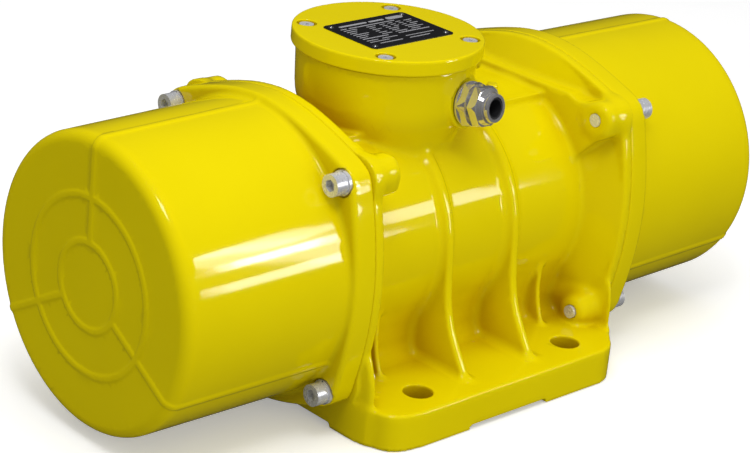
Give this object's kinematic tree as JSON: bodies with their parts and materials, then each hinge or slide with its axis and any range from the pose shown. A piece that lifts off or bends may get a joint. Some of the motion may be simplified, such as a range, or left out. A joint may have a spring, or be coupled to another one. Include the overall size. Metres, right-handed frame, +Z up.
{
  "type": "vibration motor",
  "caption": "Foot-mounted electric vibration motor: ribbed cast body with a round terminal box and cable gland, and deep end covers over adjustable eccentric weights.",
  "frame": {"origin": "on the mounting plane under the middle of the body, at the centre of the four mounting holes", "axes": "+X along the shaft, -Y towards the cable entry, +Z up from the mounting plane"},
  "size_m": [0.5828, 0.2785, 0.2603],
  "materials": {
    "enamel": "gloss",
    "zinc_steel": "satin",
    "nickel_plate": "polished",
    "rubber_black": "matte",
    "lead_insulation": "satin",
    "plate_black": "satin",
    "bare_aluminium": "satin",
    "brass_parts": "satin",
    "phenolic": "satin",
    "machined_iron": "satin",
    "bearing_steel": "polished",
    "turned_steel": "satin",
    "core_steel": "matte",
    "varnished_copper": "gloss"
  },
  "bodies": {
    "housing": {"bearing_cap_left": "machined_iron", "bearing_cap_right": "machined_iron", "bearing_cap_screws": "zinc_steel", "bearing_flange_left": "machined_iron", "bearing_flange_right": "machined_iron", "bearing_flange_screws": "zinc_steel", "bearing_outer_ring_left": "bearing_steel", "bearing_outer_ring_right": "bearing_steel", "cover_screws": "zinc_steel", "cover_seal_left": "rubber_black", "cover_seal_right": "rubber_black", "cover_spring_washers": "zinc_steel", "earth_screw": "brass_parts", "end_cover_left": "enamel", "end_cover_right": "enamel", "gland_body": "nickel_plate", "gland_cap_nut": "nickel_plate", "gland_o_ring": "rubber_black", "gland_seal": "rubber_black", "lead_wires": "lead_insulation", "lid_gasket": "rubber_black", "lid_screws": "zinc_steel", "motor_housing": "enamel", "name_plate": "plate_black", "name_plate_rivets": "bare_aluminium", "stator_core": "core_steel", "stator_winding_ends": "varnished_copper", "terminal_block": "phenolic", "terminal_lid": "enamel", "terminal_nuts": "brass_parts", "terminal_studs": "brass_parts"},
    "rotor": {"rotor_shaft": "turned_steel", "rotor_core": "core_steel", "rotor_end_rings": "bare_aluminium", "bearing_inner_ring_left": "bearing_steel", "bearing_inner_ring_right": "bearing_steel", "spacer_sleeves": "zinc_steel", "fixed_weight_left": "machined_iron", "fixed_weight_right": "machined_iron", "weight_keys": "zinc_steel", "scale_disc_left": "bare_aluminium", "scale_disc_right": "bare_aluminium", "end_washers": "zinc_steel", "shaft_lock_nuts": "zinc_steel"},
    "adjustable_weight_set_left": {"adjustable_weight_left": "machined_iron", "clamp_screw_left": "zinc_steel"},
    "adjustable_weight_set_right": {"adjustable_weight_right": "machined_iron", "clamp_screw_right": "zinc_steel"},
    "roller_set_left": {"bearing_rollers_left": "bearing_steel", "bearing_cage_left": "brass_parts"},
    "roller_set_right": {"bearing_rollers_right": "bearing_steel", "bearing_cage_right": "brass_parts"}
  },
  "joints": [
    {"name": "rotor_spin", "type": "hinge", "parent": "housing", "child": "rotor", "pos_m": [0, 0, 0.1164], "axis": [1, 0, 0], "continuous": true},
    {"name": "roller_orbit_left", "type": "hinge", "parent": "housing", "child": "roller_set_left", "pos_m": [0, 0, 0.1164], "axis": [1, 0, 0], "continuous": true},
    {"name": "roller_orbit_right", "type": "hinge", "parent": "housing", "child": "roller_set_right", "pos_m": [0, 0, 0.1164], "axis": [1, 0, 0], "continuous": true},
    {"name": "weight_setting_left", "type": "hinge", "parent": "rotor", "child": "adjustable_weight_set_left", "pos_m": [0, 0, 0.1164], "axis": [1, 0, 0], "range_deg": [0, 180]},
    {"name": "weight_setting_right", "type": "hinge", "parent": "rotor", "child": "adjustable_weight_set_right", "pos_m": [0, 0, 0.1164], "axis": [1, 0, 0], "range_deg": [0, 180]}
  ],
  "couplings": [
    {"joint": "roller_orbit_left", "follows": "rotor_spin", "ratio": 0.40278},
    {"joint": "roller_orbit_right", "follows": "rotor_spin", "ratio": 0.40278}
  ]
}
